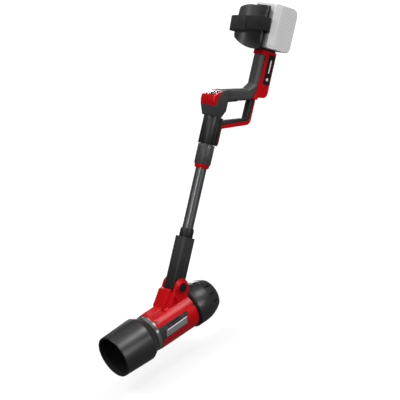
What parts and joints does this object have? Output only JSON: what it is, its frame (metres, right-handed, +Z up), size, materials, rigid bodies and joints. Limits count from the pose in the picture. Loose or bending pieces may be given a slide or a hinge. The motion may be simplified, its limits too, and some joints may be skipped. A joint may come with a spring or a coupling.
{
  "type": "leaf blower",
  "caption": "Battery pole leaf blower: axial blower head on a tilting yoke, telescopic pole, D handle with trigger, arm cuff with strap and slide-on battery.",
  "frame": {"origin": "middle of the hand grip, where the tool is held", "axes": "+X is the way the air leaves the nozzle, +Y is the tool's left, +Z is up; the pole leans back 37.3 degrees from the vertical in the XZ plane"},
  "size_m": [0.8882, 0.1306, 0.7316],
  "materials": {
    "red_casing": "satin moulded red plastic",
    "black_plastic": "fine matt moulded black plastic",
    "soft_grip": "soft over-moulded grip",
    "gloss_black": "smooth gloss black",
    "pale_plastic": "pale grey plastic with fine diagonal ribs",
    "dark_plastic": "dark grey plastic",
    "pole_aluminium": "dark anodised tube with lengthwise grooves",
    "steel": "bright machined steel",
    "bright_trim": "bright trim line",
    "webbing": "woven black webbing",
    "seal_rubber": "black rubber",
    "board_green": "coated circuit board",
    "winding_copper": "enamelled copper winding",
    "magnet_grey": "plated magnet",
    "cell_wrap": "wrapped cells"
  },
  "bodies": {
    "handle": {"head_housing": "black_plastic", "control_cap": "red_casing", "control_pad": "soft_grip", "control_board": "board_green", "grip_sleeve": "soft_grip", "handle_shell_left": "red_casing", "handle_shell_right": "red_casing", "guard_liner": "soft_grip", "fore_grip": "soft_grip", "outer_tube": "pole_aluminium", "collet": "black_plastic", "label_panels": "gloss_black", "spine": "black_plastic", "battery_terminals": "steel", "arm_cuff": "black_plastic", "cuff_strap": "webbing", "cuff_screws": "steel", "handle_screws": "steel", "trigger_pin": "steel", "trigger_switch": "dark_plastic", "trigger_spring": "steel"},
    "lock_sleeve": {"lock_sleeve": "black_plastic", "lock_ring": "red_casing"},
    "lower_pole": {"lower_tube": "pole_aluminium", "lower_collar": "black_plastic", "lower_grip": "soft_grip", "pivot_block": "steel", "guide_bush": "black_plastic", "coiled_lead": "seal_rubber"},
    "blower_head": {"head_shell_left": "red_casing", "head_shell_right": "red_casing", "duct": "dark_plastic", "outlet_collar": "gloss_black", "nozzle_seal": "seal_rubber", "side_panels": "gloss_black", "panel_trims": "bright_trim", "intake_ring": "dark_plastic", "intake_cap": "black_plastic", "motor_can": "steel", "guide_vanes": "dark_plastic", "stator": "winding_copper", "bearings": "steel", "tail_cone": "dark_plastic", "blower_screws": "steel", "pivot_pin": "steel", "pivot_washers": "pale_plastic", "tilt_spring": "steel"},
    "tilt_button": {"tilt_button": "gloss_black"},
    "rotor": {"fan": "dark_plastic", "fan_nut": "steel", "motor_shaft": "steel", "rotor_magnet": "magnet_grey"},
    "nozzle": {"nozzle": "black_plastic"},
    "battery": {"battery_case": "pale_plastic", "battery_cells": "cell_wrap"},
    "battery_latch": {"battery_button": "pale_plastic"},
    "trigger": {"trigger": "soft_grip"},
    "power_button": {"power_button": "gloss_black"}
  },
  "joints": [
    {"name": "telescope", "type": "slide", "parent": "handle", "child": "lower_pole", "axis": [0.606, 0, -0.7955], "range_m": [-0.1, 0.03]},
    {"name": "lock_twist", "type": "hinge", "parent": "handle", "child": "lock_sleeve", "pos_m": [0.16018, 0, -0.103], "axis": [-0.606, 0, 0.7955], "range_deg": [0, 60]},
    {"name": "head_tilt", "type": "hinge", "parent": "lower_pole", "child": "blower_head", "pos_m": [0.37833, 0, -0.38937], "axis": [0, 1, 0], "range_deg": [-40, 45]},
    {"name": "tilt_button_press", "type": "slide", "parent": "blower_head", "child": "tilt_button", "axis": [0, -1, 0], "range_m": [0, 0.004], "stiffness_N_per_m": 800, "springref_m": -0.003, "deforming": ["tilt_spring"]},
    {"name": "fan_spin", "type": "hinge", "parent": "blower_head", "child": "rotor", "pos_m": [0.37833, 0, -0.47037], "axis": [1, 0, 0], "continuous": true},
    {"name": "nozzle_twist", "type": "hinge", "parent": "blower_head", "child": "nozzle", "pos_m": [0.51833, 0, -0.47037], "axis": [1, 0, 0], "range_deg": [0, 25]},
    {"name": "battery_slide", "type": "slide", "parent": "handle", "child": "battery", "axis": [-0.606, 0, 0.7955], "range_m": [0, 0.095]},
    {"name": "battery_latch_press", "type": "slide", "parent": "battery", "child": "battery_latch", "axis": [0.606, 0, -0.7955], "range_m": [0, 0.0025], "stiffness_N_per_m": 600, "springref_m": -0.002},
    {"name": "trigger_pull", "type": "hinge", "parent": "handle", "child": "trigger", "pos_m": [0.04011, 0, 0.0117], "axis": [0, 1, 0], "range_deg": [0, 8], "stiffness_Nm_per_rad": 1, "springref_deg": -6.88, "deforming": ["trigger_spring"]},
    {"name": "power_button_press", "type": "slide", "parent": "handle", "child": "power_button", "axis": [0.0628, 0, -0.998], "range_m": [0, 0.0015], "stiffness_N_per_m": 500, "springref_m": -0.002}
  ]
}
